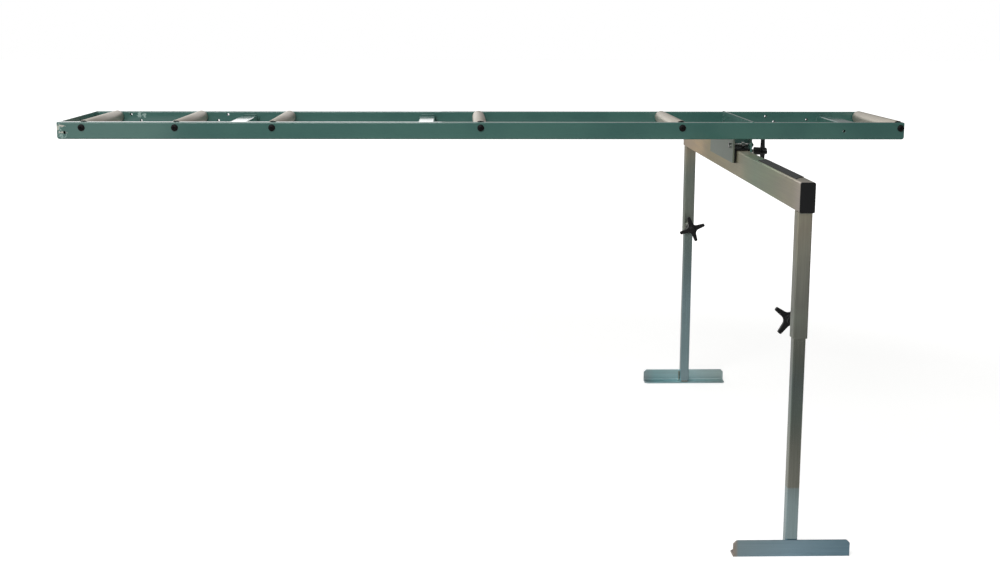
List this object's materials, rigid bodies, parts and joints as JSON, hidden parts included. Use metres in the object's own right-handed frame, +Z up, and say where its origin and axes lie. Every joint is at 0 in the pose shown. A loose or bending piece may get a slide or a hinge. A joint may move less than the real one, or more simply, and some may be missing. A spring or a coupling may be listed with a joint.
{
  "type": "roller table",
  "caption": "Narrow roller table: a green steel rail frame with free-turning rollers, clamped on a zinc-plated trestle with telescopic legs and star-knob lock screws.",
  "frame": {"origin": "on the floor, below the middle of the table's length and the middle of the trestle beam's length", "axes": "+X along the table from the saw end to the outer end, +Y across it from the front rail to the rear rail, +Z up"},
  "size_m": [2.007, 1.488, 0.841],
  "materials": {
    "green_paint": "semi-gloss blue-green enamel over steel tube",
    "zinc_plate": "bright zinc plating on mild steel",
    "roller_steel": "drawn and zinc-plated roller tube, satin",
    "bright_steel": "zinc-plated fastener",
    "bearing_steel": "ground bearing steel",
    "black_steel": "black-finished screw head",
    "black_plastic": "moulded polyamide",
    "black_rubber": "ribbed rubber"
  },
  "bodies": {
    "table_frame": {"near_rail": "green_paint", "far_rail": "green_paint", "end_plate": "green_paint", "left_cross_member": "green_paint", "middle_cross_member": "green_paint", "right_cross_member": "green_paint", "clamp_cross_plate": "green_paint", "frame_weld_beads": "green_paint", "clamp_weld_nuts": "green_paint", "clamp_screw_nut": "green_paint", "roller_axles": "bright_steel", "axle_screws": "black_steel", "axle_sleeves": "bright_steel", "clamp_jaw_plate": "zinc_plate", "clamp_liner": "black_rubber", "clamp_bolts": "bright_steel", "clamp_lock_nuts": "bright_steel"},
    "roller_1": {"roller_tube_1": "roller_steel", "roller_caps_1": "black_plastic", "roller_bearings_1": "bearing_steel"},
    "roller_2": {"roller_tube_2": "roller_steel", "roller_caps_2": "black_plastic", "roller_bearings_2": "bearing_steel"},
    "roller_3": {"roller_tube_3": "roller_steel", "roller_caps_3": "black_plastic", "roller_bearings_3": "bearing_steel"},
    "roller_4": {"roller_tube_4": "roller_steel", "roller_caps_4": "black_plastic", "roller_bearings_4": "bearing_steel"},
    "roller_5": {"roller_tube_5": "roller_steel", "roller_caps_5": "black_plastic", "roller_bearings_5": "bearing_steel"},
    "roller_6": {"roller_tube_6": "roller_steel", "roller_caps_6": "black_plastic", "roller_bearings_6": "bearing_steel"},
    "trestle": {"beam": "zinc_plate", "beam_end_caps": "black_plastic", "grip_strip": "black_rubber", "near_leg_tube": "zinc_plate", "far_leg_tube": "zinc_plate", "leg_weld_beads": "zinc_plate", "near_lock_boss": "zinc_plate", "far_lock_boss": "zinc_plate"},
    "near_sliding_leg": {"near_inner_leg": "zinc_plate", "near_foot": "zinc_plate", "near_foot_welds": "zinc_plate", "near_leg_plug": "black_plastic"},
    "far_sliding_leg": {"far_inner_leg": "zinc_plate", "far_foot": "zinc_plate", "far_foot_welds": "zinc_plate", "far_leg_plug": "black_plastic"},
    "near_lock_screw": {"near_lock_screw": "bright_steel"},
    "near_lock_knob": {"near_lock_knob": "black_plastic"},
    "far_lock_screw": {"far_lock_screw": "bright_steel"},
    "far_lock_knob": {"far_lock_knob": "black_plastic"},
    "clamp_screw": {"clamp_screw": "bright_steel"},
    "clamp_knob": {"clamp_knob": "black_plastic"}
  },
  "joints": [
    {"name": "roller_1_spin", "type": "hinge", "parent": "table_frame", "child": "roller_1", "pos_m": [-0.9465, 0.108, 0.825], "axis": [0, 1, 0], "continuous": true},
    {"name": "roller_2_spin", "type": "hinge", "parent": "table_frame", "child": "roller_2", "pos_m": [-0.7295, 0.108, 0.825], "axis": [0, 1, 0], "continuous": true},
    {"name": "roller_3_spin", "type": "hinge", "parent": "table_frame", "child": "roller_3", "pos_m": [-0.5025, 0.108, 0.825], "axis": [0, 1, 0], "continuous": true},
    {"name": "roller_4_spin", "type": "hinge", "parent": "table_frame", "child": "roller_4", "pos_m": [-0.0115, 0.108, 0.825], "axis": [0, 1, 0], "continuous": true},
    {"name": "roller_5_spin", "type": "hinge", "parent": "table_frame", "child": "roller_5", "pos_m": [0.4665, 0.108, 0.825], "axis": [0, 1, 0], "continuous": true},
    {"name": "roller_6_spin", "type": "hinge", "parent": "table_frame", "child": "roller_6", "pos_m": [0.9875, 0.108, 0.825], "axis": [0, 1, 0], "continuous": true},
    {"name": "trestle_slide", "type": "slide", "parent": "table_frame", "child": "trestle", "axis": [0, 1, 0], "range_m": [-0.45, 0.19]},
    {"name": "near_leg_slide", "type": "slide", "parent": "trestle", "child": "near_sliding_leg", "axis": [0, 0, 1], "range_m": [-0.07, 0.12]},
    {"name": "far_leg_slide", "type": "slide", "parent": "trestle", "child": "far_sliding_leg", "axis": [0, 0, 1], "range_m": [-0.07, 0.12]},
    {"name": "near_lock_screw_travel", "type": "slide", "parent": "trestle", "child": "near_lock_screw", "axis": [0, 1, 0], "range_m": [0, 0.00375]},
    {"name": "near_lock_knob_turn", "type": "hinge", "parent": "near_lock_screw", "child": "near_lock_knob", "pos_m": [0.6145, -0.655, 0.477], "axis": [0, 1, 0], "range_deg": [0, 1170]},
    {"name": "far_lock_screw_travel", "type": "slide", "parent": "trestle", "child": "far_lock_screw", "axis": [0, -1, 0], "range_m": [0, 0.00375]},
    {"name": "far_lock_knob_turn", "type": "hinge", "parent": "far_lock_screw", "child": "far_lock_knob", "pos_m": [0.6145, 0.655, 0.477], "axis": [0, -1, 0], "range_deg": [0, 1170]},
    {"name": "clamp_screw_travel", "type": "slide", "parent": "table_frame", "child": "clamp_screw", "axis": [1, 0, 0], "range_m": [0, 0.0045]},
    {"name": "clamp_knob_turn", "type": "hinge", "parent": "clamp_screw", "child": "clamp_knob", "pos_m": [0.673, 0.08, 0.755], "axis": [1, 0, 0], "range_deg": [0, 1170]}
  ],
  "couplings": [
    {"joint": "near_lock_knob_turn", "follows": "near_lock_screw_travel", "rad_per_m": 5026.5},
    {"joint": "far_lock_knob_turn", "follows": "far_lock_screw_travel", "rad_per_m": 5026.5},
    {"joint": "clamp_knob_turn", "follows": "clamp_screw_travel", "rad_per_m": 4188.8}
  ]
}
